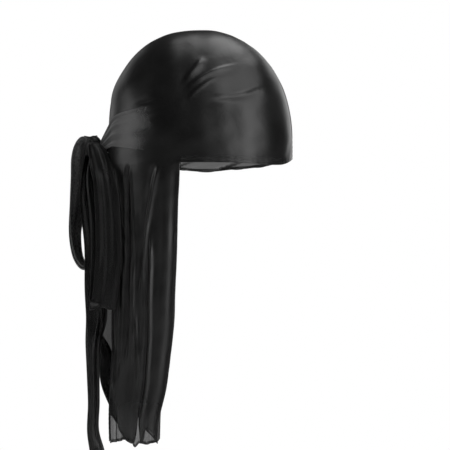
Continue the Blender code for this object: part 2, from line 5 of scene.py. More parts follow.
import bmesh
import bpy
import numpy as np
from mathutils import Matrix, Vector


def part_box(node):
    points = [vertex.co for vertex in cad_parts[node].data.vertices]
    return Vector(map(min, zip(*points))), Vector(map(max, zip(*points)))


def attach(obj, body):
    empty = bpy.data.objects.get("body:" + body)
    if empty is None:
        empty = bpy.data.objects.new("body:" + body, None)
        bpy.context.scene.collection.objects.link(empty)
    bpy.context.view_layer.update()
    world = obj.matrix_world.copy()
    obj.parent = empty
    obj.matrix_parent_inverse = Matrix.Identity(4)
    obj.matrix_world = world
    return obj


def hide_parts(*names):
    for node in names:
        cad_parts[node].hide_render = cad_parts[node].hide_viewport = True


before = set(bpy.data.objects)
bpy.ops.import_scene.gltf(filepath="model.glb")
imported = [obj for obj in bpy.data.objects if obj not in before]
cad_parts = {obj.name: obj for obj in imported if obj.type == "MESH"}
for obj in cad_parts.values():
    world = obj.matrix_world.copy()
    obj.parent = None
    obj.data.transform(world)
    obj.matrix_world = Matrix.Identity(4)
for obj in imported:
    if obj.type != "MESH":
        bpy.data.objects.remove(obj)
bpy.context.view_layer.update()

cloth = {
    "wall": 0.00045,          # one layer of satin
    "hem": 0.0012,            # the same layer rolled twice and stitched
    "hemWidth": 0.0034,
    "hemStep": 0.0008,        # width over which a hem's thickness grows
    "hemRise": 0.00025,
    "hemLayers": 0.7,         # how much light a hem keeps out
    "stitchIn": 0.0027,       # from the edge to the stitching
    "stitchWidth": 0.0006,
    "stitchValley": 0.00014,
    "pucker": 0.00007,        # small waves that the stitching pulls into a hem
    "puckerPitch": 0.0062,
    "puckerReach": 0.009,     # from the edge to where the waves are gone
    "calmBy": 0.01,           # hems lie flat at the middle plane and are whole this far from it
    "halfGap": 0.00015,       # from the middle plane to the edge of each panel
    "joined": 0.00002,        # points closer than this are one
}


def ease(share):
    share = np.clip(share, 0.0, 1.0)
    return share * share * (3 - 2 * share)


# A smooth curve through the rows of a table, read at one place or at many
def readRows(rows, key, column, at):
    keys = np.array([row[key] for row in rows], float)
    values = np.array([row[column] for row in rows], float)
    return readCurve(keys, values, at)


def readCurve(keys, values, at):
    slopes = np.gradient(values, keys, axis=0)
    at = np.clip(np.asarray(at, float), keys[0], keys[-1])
    index = np.clip(np.searchsorted(keys, at, side="right") - 1, 0, len(keys) - 2)
    span = keys[index + 1] - keys[index]
    t = (at - keys[index]) / span
    if values.ndim > 1:
        t, span = t[..., None], span[..., None]
    t2, t3 = t * t, t * t * t
    level = values[index] * (2 * t3 - 3 * t2 + 1) + values[index + 1] * (3 * t2 - 2 * t3)
    return level + span * (slopes[index] * (t3 - 2 * t2 + t) + slopes[index + 1] * (t3 - t2))


# The hem has corners, so its table is read straight, and only softened
def riseAt(hemTable, place):
    places, rises = zip(*hemTable)
    soft = flap["hemSoft"]
    near = [np.interp(place + shift, places, rises) for shift in (-soft, 0, 0, soft)]
    return sum(near) / len(near)


def unit(vectors):
    length = np.linalg.norm(vectors, axis=-1, keepdims=True)
    return vectors / np.maximum(length, 1e-9)


# Crown and flap are one surface on each side

rightLow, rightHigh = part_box("right_panel")
leftLow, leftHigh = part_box("left_panel")
crown = {
    "front": rightHigh.x,
    "back": -rightLow.x,
    "halfWidth": leftHigh.y,
    "top": rightHigh.z,
    "wallHeight": 0.030,      # the crown narrows upwards from here
    "wallSoft": 0.12,         # share of the dome's height over which the wall turns into it
    "rimLift": 0.0074,        # of the rim at the front
    "square": 2.25,           # 2 is an ellipse seen from above
    "frontRound": 2.10,       # 2 is an ellipse seen from the side
    "backRound": 2.32,
    "sideRound": 2.10,
    "backBulge": 0.0016,      # fullness of the back above the tie
    "bulgeAt": 0.45,          # share of the dome's height
    "bulgeWidth": 0.16,
    "foldDepth": 0.0020,
    "foldWidth": 0.0022,
    "foldsFrom": 0.35,        # share of the half width from which the folds are whole
    "standAt": 2.2,           # widths from a fold to the cloth that stands up over it
    "standWide": 1.5,
    "waveDepth": 0.0006,
    "wavesFrom": 0.02,        # from the middle plane to where the slow waves are whole
    "rimBand": 0.016,         # height of the band with diagonal folds along the rim on the far side
    "rimWave": 0.0011,
    "rimWavePitch": 0.021,
    "rimSlant": 2.2,
    "rimLayers": 0.75,        # how much light their double cloth keeps out
    "offFlap": 0.12,          # share of the rim, next to the flap, where it levels out
}
# How the rim rises to the front and dips beside it, on the near side and the far one. liftTo and dipAt are
# turned from the front. The cloth starts to keep light out at the height opaqueFrom and does so fully from
# opaqueAt up. cover is how much light the rest keeps out, beyond what its satin does.
rimShapes = {
    -1: dict(liftTo=math.radians(34), dip=0.0014, dipAt=math.radians(45), dipWidth=math.radians(17),
             opaqueFrom=0.001, opaqueAt=0.010, cover=0.22),
    1: dict(liftTo=math.radians(84), dip=0.0019, dipAt=math.radians(92), dipWidth=math.radians(13),
            opaqueFrom=0.012, opaqueAt=0.040, cover=0.0),
}
flap = {
    "length": max(-leftLow.z, -rightLow.z) + 0.0045,  # from the rim to where the hem's rise is 0
    "clothWide": 0.125,       # cloth of each half, from its free edge to the middle
    "foldDepth": 0.0044,
    "atRim": 0.60,            # share of their depth that the folds have under the rim
    "whole": 0.30,            # share of the length by which they have all of it
    "foldTop": 0.012,         # drop from the rim over which they start
    "fadeIn": 0.12,           # shares of the length over which one fold fades
    "fadeOut": 0.14,
    "calmMiddle": 0.10,       # share of each half where they fade towards the middle
    "leftSetback": 0.0065,    # how much further back the far half's free edge is
    "setbackLoss": 0.55,      # share of it that is gone at the hem
    "thinFrom": 0.72,         # share of the length from which the cloth lets more and more light through
    "thinTo": 0.92,           # and by which it is as sheer as its satin
    "hemSoft": 0.006,         # how far the hem's corners are softened, as a share of the half
}

# level is a share of the flap's length. edge, where its free edge hangs, and back are shares of the
# crown's reach to the back, and side is one of its half width.
flapLevels = [
    dict(level=0.00, edge=0.190, back=1.010, side=0.975),
    dict(level=0.06, edge=0.200, back=0.995, side=0.950),
    dict(level=0.12, edge=0.212, back=0.965, side=0.920),
    dict(level=0.30, edge=0.230, back=0.925, side=0.850),
    dict(level=0.45, edge=0.256, back=0.944, side=0.790),
    dict(level=0.56, edge=0.272, back=0.956, side=0.740),
    dict(level=0.65, edge=0.306, back=0.964, side=0.700),
    dict(level=0.74, edge=0.342, back=0.980, side=0.670),
    dict(level=0.85, edge=0.422, back=0.998, side=0.640),
    dict(level=1.00, edge=0.446, back=0.990, side=0.600),
]

# Folds of each half of the flap. top to hem are the places that a fold passes, from the free edge at 0
# to the back at 1. start and end are where it fades, as shares of the length.
foldColumns = ("top", "upper", "middle", "lower", "hem", "start", "end", "width", "depth")
rightFolds = [dict(zip(foldColumns, row)) for row in [
    (0.020, 0.030, 0.030, 0.040, 0.050, -0.10, 1.10, 0.030, -0.45),
    (0.100, 0.100, 0.110, 0.110, 0.110, -0.10, 1.10, 0.045, 0.30),
    (0.150, 0.280, 0.335, 0.340, 0.340, -0.10, 0.46, 0.020, 0.75),
    (0.190, 0.320, 0.375, 0.380, 0.380, -0.10, 0.44, 0.024, -0.55),
    (0.240, 0.230, 0.215, 0.190, 0.180, 0.20, 0.95, 0.018, 0.75),
    (0.270, 0.270, 0.255, 0.235, 0.230, 0.28, 1.10, 0.024, -0.60),
    (0.400, 0.400, 0.385, 0.290, 0.260, 0.44, 0.78, 0.018, 0.60),
    (0.340, 0.350, 0.350, 0.370, 0.360, 0.10, 1.10, 0.040, -0.40),
    (0.420, 0.430, 0.406, 0.380, 0.360, -0.10, 0.72, 0.011, 0.55),
    (0.490, 0.560, 0.580, 0.580, 0.580, -0.10, 0.74, 0.011, 0.65),
    (0.455, 0.520, 0.510, 0.490, 0.490, -0.10, 0.70, 0.028, -0.80),
    (0.620, 0.620, 0.620, 0.640, 0.660, 0.00, 0.74, 0.022, -0.45),
    (0.660, 0.740, 0.740, 0.740, 0.740, -0.10, 0.66, 0.018, 0.60),
    (0.840, 0.660, 0.660, 0.660, 0.660, -0.10, 0.20, 0.013, 0.70),
    (0.850, 0.850, 0.850, 0.780, 0.600, 0.70, 1.10, 0.028, 0.70),
    (0.700, 0.700, 0.700, 0.680, 0.500, 0.74, 1.10, 0.030, -0.50),
]]
leftFolds = [dict(zip(foldColumns, row)) for row in [
    (0.030, 0.030, 0.030, 0.040, 0.050, -0.10, 1.10, 0.030, -0.40),
    (0.110, 0.130, 0.140, 0.120, 0.100, -0.10, 1.10, 0.030, 0.60),
    (0.190, 0.200, 0.210, 0.190, 0.170, -0.10, 1.10, 0.026, -0.65),
    (0.270, 0.290, 0.280, 0.270, 0.270, -0.10, 0.80, 0.020, 0.85),
    (0.360, 0.380, 0.380, 0.390, 0.400, -0.10, 1.10, 0.035, -0.75),
    (0.470, 0.460, 0.470, 0.490, 0.530, 0.10, 1.10, 0.022, 0.75),
    (0.560, 0.540, 0.530, 0.550, 0.580, -0.10, 0.70, 0.020, -0.60),
    (0.640, 0.620, 0.600, 0.620, 0.660, -0.10, 1.10, 0.022, 0.70),
    (0.740, 0.730, 0.720, 0.740, 0.760, 0.05, 1.10, 0.030, -0.50),
]]

# The hem: places along the half from the free edge, and its rise there as a share of the length
rightHem = [
    (0.000, 0.066), (0.036, 0.078), (0.080, 0.098), (0.125, 0.112), (0.143, 0.108),
    (0.158, 0.068), (0.185, 0.062), (0.208, 0.068), (0.224, 0.110), (0.245, 0.190),
    (0.257, 0.110), (0.268, 0.066), (0.305, 0.060), (0.345, 0.060), (0.386, 0.064),
    (0.420, 0.072), (0.460, 0.086), (0.500, 0.096), (0.560, 0.110), (0.620, 0.124),
    (0.700, 0.148), (0.800, 0.184), (0.900, 0.218), (0.965, 0.232), (1.000, 0.036),
]
leftHem = [
    (0.000, 0.026), (0.030, 0.015), (0.080, 0.009), (0.160, 0.007), (0.230, 0.011),
    (0.270, 0.013), (0.300, 0.004), (0.325, -0.001), (0.350, 0.004), (0.390, 0.022),
    (0.440, 0.030), (0.500, 0.031), (0.620, 0.029), (0.800, 0.033), (1.000, 0.038),
]

# Folds that the ties pull into the sides of the crown: three points each, x as a share of the reach to
# the front and z of the height. depth is a ridge's height, or a valley's depth where it is negative. Its
# upper side is steep, and gentle is how many times wider the lower one is. rim is the height of the cloth
# that stands up over the end of it. width, depth and rim are shares of the crown's fold sizes, and fadeIn
# and fadeOut of the fold's length.
crownFolds = [
    dict(x1=-0.180, z1=0.535, x2=-0.047, z2=0.650, x3=0.058, z3=0.752,
         width=0.80, depth=0.95, gentle=2.4, rim=0.0, fadeIn=0.35, fadeOut=0.34),
    dict(x1=-0.160, z1=0.500, x2=0.140, z2=0.632, x3=0.460, z3=0.710,
         width=0.70, depth=1.00, gentle=1.9, rim=0.20, fadeIn=0.30, fadeOut=0.45),
    dict(x1=-0.120, z1=0.428, x2=0.016, z2=0.515, x3=0.205, z3=0.600,
         width=0.65, depth=0.85, gentle=1.2, rim=0.0, fadeIn=0.30, fadeOut=0.40),
    dict(x1=0.090, z1=0.448, x2=0.420, z2=0.470, x3=0.700, z3=0.532,
         width=0.65, depth=-0.95, gentle=3.6, rim=0.30, fadeIn=0.45, fadeOut=0.30),
    dict(x1=0.060, z1=0.385, x2=0.280, z2=0.425, x3=0.560, z3=0.415,
         width=0.9, depth=0.20, gentle=2.0, rim=0.0, fadeIn=0.40, fadeOut=0.50),
    dict(x1=-0.720, z1=0.395, x2=-0.520, z2=0.428, x3=-0.300, z3=0.440,
         width=0.70, depth=-0.5, gentle=1.7, rim=0.0, fadeIn=0.45, fadeOut=0.50),
    dict(x1=-0.640, z1=0.300, x2=-0.500, z2=0.335, x3=-0.330, z3=0.345,
         width=0.8, depth=-0.4, gentle=2.0, rim=0.0, fadeIn=0.40, fadeOut=0.60),
    dict(x1=0.985, z1=0.260, x2=0.966, z2=0.140, x3=0.930, z3=0.035,
         width=0.7, depth=-0.20, gentle=1.5, rim=0.0, fadeIn=0.50, fadeOut=0.20),
]
foldSteps = 8  # straight pieces that a fold's line is read in

mesh = {
    "frontColumns": 104,
    "flapColumns": 100,
    "domeRows": 112,
    "wallRows": 16,
    "flapRows": 132,
}
hemSteps = [0.86, 0.72, 0.55, 0.38, 0.22, 0.09]  # shares of the hem's width where it has rows of its own


def rimHeight(angle, side):
    shape = rimShapes[side]
    lift = crown["rimLift"] * ease(1 - angle / shape["liftTo"])
    return lift - shape["dip"] * np.exp(-(((angle - shape["dipAt"]) / shape["dipWidth"]) ** 2))


# Reach to the front, reach to the back and half width at a height, above the rim or below it
def sectionAt(height):
    rise = (height - crown["wallHeight"]) / (crown["top"] - crown["wallHeight"])
    soft = crown["wallSoft"]
    rise = np.minimum(1, (rise + np.hypot(rise, soft)) / (1 + math.hypot(1, soft)))
    front = crown["front"] * (1 - rise ** crown["frontRound"]) ** (1 / crown["frontRound"])
    back = crown["back"] * (1 - rise ** crown["backRound"]) ** (1 / crown["backRound"])
    side = crown["halfWidth"] * (1 - rise ** crown["sideRound"]) ** (1 / crown["sideRound"])
    back = back + crown["backBulge"] * np.exp(-(((rise - crown["bulgeAt"]) / crown["bulgeWidth"]) ** 2))
    low = ease(1 - height / crown["wallHeight"])
    drop = np.clip(-height / flap["length"], 0, 1)
    backShare = readRows(flapLevels, "level", "back", drop)
    sideShare = readRows(flapLevels, "level", "side", drop)
    return front, back * (1 + (backShare - 1) * low), side * (1 + (sideShare - 1) * low)


# A point of the outline seen from above, on the +Y side. The angle is 0 at the front, pi at the back.
def outline(angle, height):
    front, back, side = sectionAt(height)
    power = 2 / crown["square"]
    across, along = np.sin(angle), np.cos(angle)
    reach = np.where(along > 0, front, back)
    x = reach * np.sign(along) * np.abs(along) ** power
    y = side * np.abs(across) ** power
    return np.stack([x, y, height + 0 * x], axis=-1)


# The level direction away from the cloth
def outwardAt(angle, height):
    step = 0.01
    run = outline(angle + step, height) - outline(angle - step, height)
    out = unit(np.stack([-run[..., 1], run[..., 0], 0 * run[..., 0]], axis=-1))
    return out * np.sign(np.sum(out * outline(angle, height), axis=-1, keepdims=True))


def edgeAngle(drop, side):
    edge = readRows(flapLevels, "level", "edge", drop)
    back = readRows(flapLevels, "level", "back", drop)
    if side > 0:
        edge = edge + flap["leftSetback"] * (1 - flap["setbackLoss"] * ease(drop)) / crown["back"]
    return math.pi - np.arccos((edge / back) ** (crown["square"] / 2))


def flapFolds(folds, place, drop):
    total = np.zeros_like(place)
    marks = np.linspace(0, 1, 5)
    for fold in folds:
        centre = readCurve(marks, np.array([fold[name] for name in foldColumns[:5]]), drop)
        fade = ease((drop - fold["start"]) / flap["fadeIn"]) * ease((fold["end"] - drop) / flap["fadeOut"])
        total += fold["depth"] * fade * np.exp(-(((place - centre) / fold["width"]) ** 2))
    grown = flap["atRim"] + (1 - flap["atRim"]) * ease(drop / flap["whole"])
    offMiddle = ease((1 - place) / flap["calmMiddle"] - 0.3)
    offRim = ease(drop * flap["length"] / flap["foldTop"])
    return flap["foldDepth"] * total * grown * offMiddle * offRim


# Signed distance to the line of a crown fold, and the share of its length
def distanceToFold(x, z, fold):
    corners = [(fold[f"x{n}"] * crown["front"], fold[f"z{n}"] * crown["top"]) for n in (1, 2, 3)]
    line = readCurve(np.arange(3.0), np.array(corners), np.linspace(0, 2, foldSteps + 1))
    best = np.full(x.shape, 1e3)
    share = np.zeros(x.shape)
    for number, (start, end) in enumerate(zip(line, line[1:])):
        run = end - start
        along = ((x - start[0]) * run[0] + (z - start[1]) * run[1]) / run.dot(run)
        inside = np.clip(along, 0, 1)
        offX, offZ = x - start[0] - run[0] * inside, z - start[1] - run[1] * inside
        away = np.hypot(offX, offZ)
        sign = np.where(offZ * run[0] - offX * run[1] > 0, 1.0, -1.0)
        closer = away < np.abs(best)
        best = np.where(closer, away * sign, best)
        share = np.where(closer, (number + inside) / foldSteps, share)
    return best, share


def crownFoldHeight(x, z):
    total = np.zeros_like(x)
    for fold in crownFolds:
        away, share = distanceToFold(x, z, fold)
        width = crown["foldWidth"] * fold["width"] * (0.75 + 0.5 * share)
        fade = ease(share / fold["fadeIn"]) * ease((1 - share) / fold["fadeOut"])
        swell = np.exp(-((away / (width * np.where(away > 0, 1.0, fold["gentle"]))) ** 2))
        rim = np.exp(-(((away / width - crown["standAt"]) / crown["standWide"]) ** 2)) * share ** 2
        total += fade * (fold["depth"] * swell + fold["rim"] * rim)
    return total * crown["foldDepth"]


# Slow waves that keep the cloth from looking turned on a lathe
def slowWaves(x, z, phase):
    first = np.sin(95 * x + 41 * z + phase) * np.sin(58 * z - 33 * x + 1.3 * phase)
    second = np.sin(210 * x - 120 * z + 2.1 * phase) * np.sin(150 * z + 70 * x + phase)
    return crown["waveDepth"] * (first + 0.35 * second)


# What the hem adds, by distance from the cloth's edge: a thickness share and an outward height
def hemShape(distance, alongEdge):
    share = ease((cloth["hemWidth"] - distance) / cloth["hemStep"])
    stitch = np.exp(-(((distance - cloth["stitchIn"]) / cloth["stitchWidth"]) ** 2))
    reach = ease(1 - distance / cloth["puckerReach"])
    turn = 2 * math.pi * alongEdge / cloth["puckerPitch"]
    pucker = cloth["pucker"] * reach * (np.sin(turn) + 0.8 * np.sin(turn / 2.37))
    return share, share * cloth["hemRise"] - cloth["stitchValley"] * stitch + pucker


# Puts a grid of points into a mesh with its weave coordinates, its see-through mask and its hem weights
def clothObject(name, points, weave, cover, hem, outwards, wallSide, used=None):
    if used is None:
        used = np.ones(cover.shape, bool)
    bm = bmesh.new()
    weaveLayer = bm.loops.layers.uv.new("weave")
    coverLayer = bm.verts.layers.float.new("cover")
    hemLayer = bm.verts.layers.deform.verify()
    numbers = {}
    for row, column in np.argwhere(used):
        vert = bm.verts.new(points[row, column])
        vert[coverLayer] = cover[row, column]
        vert[hemLayer][0] = float(hem[row, column])
        numbers[row, column] = vert
    block = used[:-1, :-1] & used[1:, :-1] & used[:-1, 1:] & used[1:, 1:]
    for row, column in np.argwhere(block):
        corners = [(row, column), (row + 1, column), (row + 1, column + 1), (row, column + 1)]
        face = bm.faces.new([numbers[corner] for corner in corners])
        face.smooth = True
        for loop, corner in zip(face.loops, corners):
            loop[weaveLayer].uv = weave[corner]
    bmesh.ops.remove_doubles(bm, verts=bm.verts, dist=cloth["joined"])
    bm.normal_update()
    facing = sum(face.normal.dot(outwards(face.calc_center_median())) * face.calc_area() for face in bm.faces)
    if facing < 0:
        bmesh.ops.reverse_faces(bm, faces=bm.faces)
    data = bpy.data.meshes.new(name)
    bm.to_mesh(data)
    bm.free()
    piece = bpy.data.objects.new(name, data)
    bpy.context.scene.collection.objects.link(piece)
    piece.vertex_groups.new(name="hem")
    wall = piece.modifiers.new("wall", "SOLIDIFY")
    wall.thickness = cloth["hem"]
    wall.thickness_vertex_group = cloth["wall"] / cloth["hem"]
    wall.vertex_group = "hem"
    wall.offset = wallSide
    wall.use_even_offset = False
    return piece


def makePanel(name, side, folds, hemTable, phase):
    # places of the columns: over the front of the crown, then from the flap's free edge to its middle
    hemShare = cloth["hemWidth"] / flap["clothWide"]
    edgePlaces = [0.0] + [hemShare * (1 - step) for step in hemSteps]
    flapPlaces = np.array(edgePlaces + list(np.linspace(hemShare, 1, mesh["flapColumns"])))
    frontShares = np.linspace(0, 1, mesh["frontColumns"], endpoint=False)
    columns = len(frontShares) + len(flapPlaces)
    isFlap = np.arange(columns) >= len(frontShares)
    place = np.concatenate([0 * frontShares, flapPlaces])[None, :]
    frontShare = np.concatenate([frontShares, 0 * flapPlaces + 1])[None, :]

    # heights of the rows: dome, wall, hem, and the flap below the rim
    offFlap = ease((1 - frontShare) / crown["offFlap"])
    rim = rimHeight(edgeAngle(0.0, side) * frontShare, side) * offFlap
    turn = np.linspace(0, math.pi / 2, mesh["domeRows"] + 1)[:, None]
    dome = crown["wallHeight"] + (crown["top"] - crown["wallHeight"]) * np.cos(turn) + 0 * rim
    wallShares = np.linspace(1, 0, mesh["wallRows"] + 1)[1:, None]
    wall = rim + cloth["hemWidth"] + (crown["wallHeight"] - rim - cloth["hemWidth"]) * wallShares
    rimHem = rim + cloth["hemWidth"] * np.array(hemSteps + [0.0])[:, None]
    reachShare = cloth["hemWidth"] / flap["length"]
    drops = list(np.linspace(0, 1 - reachShare, mesh["flapRows"] + 1)[1:])
    drops = np.array(drops + [1 - reachShare * step for step in hemSteps + [0.0]])[:, None]
    drop = drops * (1 - riseAt(hemTable, place))
    height = np.concatenate([dome, wall, rimHem, -drop * flap["length"]], axis=0)
    crownRows = height.shape[0] - len(drops)
    drop = np.clip(-height / flap["length"], 0, 1)

    free = edgeAngle(drop, side)
    angle = np.where(isFlap[None, :], free + (math.pi - free) * place, free * frontShare)
    points = outline(angle, height)
    points[0, :, 0:2] = 0

    # outward directions of the plain surface
    down, across = np.gradient(points, axis=0), np.gradient(points, axis=1)
    out = unit(np.cross(down, across))
    middle = np.stack([points[..., 0], points[..., 1], np.maximum(0, points[..., 2])], axis=-1)
    out *= np.sign(np.sum(out * middle, axis=-1, keepdims=True) + 1e-9)
    out[0] = (0, 0, 1)
    out[:, (0, -1), 1] = 0
    out = unit(out)

    x, y, z = points[..., 0], points[..., 1], points[..., 2]
    onSide = ease(y / (crown["halfWidth"] * crown["foldsFrom"]))
    lift = crownFoldHeight(x, z) * onSide + slowWaves(x, z, phase) * ease(y / crown["wavesFrom"])
    placeGrid = place + 0 * height
    inFlap = (np.arange(len(height)) >= crownRows)[:, None] & isFlap[None, :]
    lift += flapFolds(folds, placeGrid, drop) * inFlap

    # diagonal folds along the far rim
    nearRim = ease(1 - height / crown["rimBand"]) * (1 - isFlap[None, :]) * (side > 0)
    diagonal = (angle * crown["halfWidth"] + crown["rimSlant"] * height) / crown["rimWavePitch"]
    rimFold = np.sin(2 * math.pi * diagonal) + 0.6 * np.sin(3.7 * diagonal + 1)
    lift += crown["rimWave"] * nearRim * rimFold

    # distance to the nearest hem, and how far along it
    arc = flap["clothWide"] * placeGrid
    belowEnd = (1 - riseAt(hemTable, placeGrid)) * flap["length"] + height
    fromRim = height - rim
    crownSide = np.where(isFlap[None, :], np.hypot(arc, fromRim), fromRim)
    distance = np.where(inFlap, np.minimum(arc, belowEnd), crownSide)
    alongEdge = np.where(inFlap & (arc < belowEnd), -height, angle * crown["halfWidth"])
    hem, hemLift = hemShape(distance, alongEdge)
    lift += hemLift * ease(y / cloth["calmBy"])

    points = points + out * lift[..., None]
    points[..., 1] = np.maximum(points[..., 1], cloth["halfGap"])
    # the weave spreads and drops where the cloth turns away from the side
    over = crown["halfWidth"] - points[..., 1]
    weave = np.stack([points[..., 0] * (1 + 6 * over), points[..., 2] + 0.6 * over], axis=-1)
    points[..., 1] *= side

    used = np.ones(height.shape, bool)
    used[crownRows:, : len(frontShares)] = False
    shape = rimShapes[side]
    dense = ease((z - shape["opaqueFrom"]) / (shape["opaqueAt"] - shape["opaqueFrom"]))
    layers = np.maximum(dense, crown["rimLayers"] * nearRim * ease((rimFold - 0.5) / 0.4))
    upper = ease((flap["thinTo"] - drop) / (flap["thinTo"] - flap["thinFrom"])) * isFlap[None, :]
    cover = np.maximum.reduce([cloth["hemLayers"] * hem, layers, upper, shape["cover"] + 0 * hem])
    return clothObject(
        name, points, weave, cover, hem,
        outwards=lambda spot: Vector((spot.x, spot.y, max(0.0, spot.z - crown["wallHeight"]))),
        wallSide=-1,
        used=used,
    )


# The welt along the middle, from the front rim over the crown to the flap's hem

seam = {
    "width": 0.0056,
    "height": 0.00085,
    "square": 6,              # 2 is a round back, and more is a flatter one
    "clear": 0.0002,          # from the cloth to the welt
    "stitchIn": 0.0016,       # from its middle to each row of stitches
    "stitchWidth": 0.0004,
    "stitchPitch": 0.0031,
    "groove": 0.00025,
    "wave": 0.0001,
    "bend": 6,                # follows the cloth's roundness away from the middle plane
    "end": 0.046,             # share of the flap's length that it stops short
    "columns": 14,
    "frontRows": 12,
    "domeRows": 60,
    "backRows": 169,
}


def middleLine():
    wallTop = crown["wallHeight"]
    turn = np.linspace(0, math.pi / 2, seam["domeRows"] + 1)
    dome = wallTop + (crown["top"] - wallTop) * np.cos(turn)
    wall = np.linspace(crown["rimLift"], wallTop, seam["frontRows"], endpoint=False)
    front = np.concatenate([wall, dome[::-1]])
    below = np.linspace(wallTop, -(1 - seam["end"]) * flap["length"], seam["backRows"] + 1)
    back = np.concatenate([dome[1:], below[1:]])
    line = np.concatenate([outline(0 * front, front), outline(0 * back + math.pi, back)])
    line[:, 1] = 0
    return line


def makeSeam():
    line = middleLine()
    along = unit(np.gradient(line, axis=0))
    out = np.stack([-along[:, 2], 0 * along[:, 0], along[:, 0]], axis=-1)
    middle = np.stack([line[:, 0], line[:, 1], np.maximum(0, line[:, 2])], axis=-1)
    out *= np.sign(np.sum(out * middle, axis=1, keepdims=True) + 1e-9)
    shares = np.linspace(-1, 1, seam["columns"] + 1)
    length = np.concatenate([[0], np.cumsum(np.linalg.norm(np.diff(line, axis=0), axis=1))])
    across = shares * seam["width"] / 2
    arch = seam["height"] * (1 - np.abs(shares) ** seam["square"])
    groove = np.exp(-(((np.abs(across) - seam["stitchIn"]) / seam["stitchWidth"]) ** 2))
    wave = seam["wave"] * np.sin(2 * math.pi * length / seam["stitchPitch"])[:, None]
    lift = seam["clear"] + arch * (1 + wave / seam["height"]) - seam["groove"] * groove
    points = line[:, None, :] + out[:, None, :] * lift[..., None]
    points[..., 1] = across
    points -= out[:, None, :] * (across[None, :, None] ** 2) * seam["bend"]
    weave = np.stack([across + 0 * lift, length[:, None] + 0 * lift], axis=-1)
    return clothObject(
        "seamWelt", points, weave, np.ones(lift.shape), np.zeros(lift.shape),
        outwards=lambda spot: Vector((spot.x, 0, max(0.0, spot.z - crown["wallHeight"]))),
        wallSide=-1,
    )


# Knot low at the back

knotLow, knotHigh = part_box("knot")
knot = {
    "middle": np.array((knotLow + knotHigh) / 2),
    "size": np.array(knotHigh - knotLow),
    "swell": 0.0004,          # how far its wraps stand out beyond the solid
    "clear": 0.0005,          # from the solid to where straps end
    "wraps": 2.6,
    "grooves": 0.0011,
    "creases": 0.00045,
    "segments": 112,
    "rings": 72,
}


def knotSurface(direction):
    direction = unit(np.array(direction, float))
    reach = 1 / np.linalg.norm(2 * direction / knot["size"])
    return knot["middle"] + direction * (reach + knot["clear"])


def makeKnot():
    bpy.ops.object.select_all(action="DESELECT")
    bpy.ops.mesh.primitive_uv_sphere_add(
        segments=knot["segments"], ring_count=knot["rings"], radius=1, calc_uvs=False)
    piece = bpy.context.object
    piece.name = "knotWrap"
    piece.data.name = "knotWrap"
    bm = bmesh.new()
    bm.from_mesh(piece.data)
    weaveLayer = bm.loops.layers.uv.new("weave")
    coverLayer = bm.verts.layers.float.new("cover")
    for vert in bm.verts:
        spot = np.array(vert.co)
        lean = spot[1] * 0.62 + spot[0] * 0.30 + spot[2] * 0.22
        turn = math.atan2(spot[0], spot[2])
        wrap = lean * knot["wraps"] + 0.16 * math.sin(2 * turn + 0.6) + 0.10 * math.sin(3 * turn)
        groove = abs(math.sin(math.pi * wrap)) ** 0.55
        crease = math.sin(17 * lean + 3.1 * turn) * 0.6 + math.sin(31 * lean - 2.3 * turn + 1.0) * 0.4
        shrink = knot["grooves"] * (1 - groove) + knot["creases"] * (0.5 - 0.5 * crease) * groove
        vert.co = knot["middle"] + spot * (knot["size"] / 2 + knot["swell"] - shrink)
        vert[coverLayer] = 1.0
    for face in bm.faces:
        face.smooth = True
        for loop in face.loops:
            spot = loop.vert.co - Vector(knot["middle"])
            loop[weaveLayer].uv = (spot.y + 0.5 * spot.x, spot.z)
    bm.to_mesh(piece.data)
    bm.free()
    return piece


# Ties from the sides of the crown to the knot

tie = {
    "width": 0.044,
    "length": 0.075,
    "topStart": math.radians(112),
    "lowStart": math.radians(119),
    "startWave": 0.035,       # how its sewn start wanders, in radians
    "startRipple": 0.015,
    "leaves": math.radians(158),
    "onCrown": 0.7,           # share of its length that lies on the crown
    "clear": 0.0006,
    "sunk": 0.0002,           # how far its sewn start lies in the crown's cloth
    "blend": 0.12,            # share of its length over which it comes out of it
    "sheerTo": 0.26,          # and over which its thin start lets the crown's cloth show through
    "gather": 0.0016,
    "gathers": 3,
    "hemShare": 0.6,          # of a panel hem's thickness
    "seat": (0.80, 0.60, 0),  # direction in which it meets the knot
    "rows": 70,
    "columns": 64,
}
tieSections = [
    dict(along=0.00, middle=0.0340, width=1.00),
    dict(along=0.35, middle=0.0344, width=0.84),
    dict(along=0.65, middle=0.0326, width=0.66),
    dict(along=0.85, middle=0.0262, width=0.44),
    dict(along=1.00, middle=0.0206, width=0.26),
]


